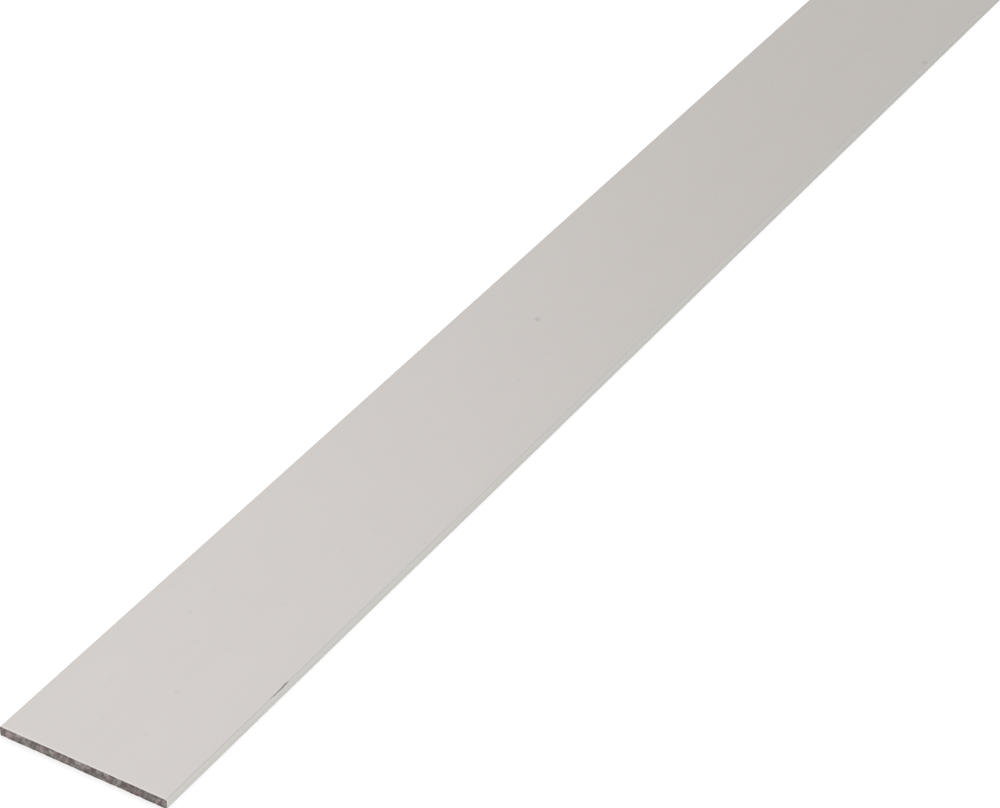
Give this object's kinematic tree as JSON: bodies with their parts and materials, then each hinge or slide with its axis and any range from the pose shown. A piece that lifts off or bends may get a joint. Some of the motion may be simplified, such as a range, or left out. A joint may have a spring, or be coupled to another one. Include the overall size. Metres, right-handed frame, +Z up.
{
  "type": "flat bar",
  "caption": "Thin extruded aluminium flat bar with a satin finish, rounded long arrises and square sawn ends.",
  "frame": {"origin": "the middle of the underside, halfway along the bar and halfway across its width", "axes": "+X along the bar, +Y across its width, +Z up through its thickness"},
  "size_m": [1, 0.035, 0.002],
  "materials": {
    "anodised_aluminium": "satin"
  },
  "bodies": {
    "root": {"flat_bar": "anodised_aluminium"}
  },
  "joints": []
}
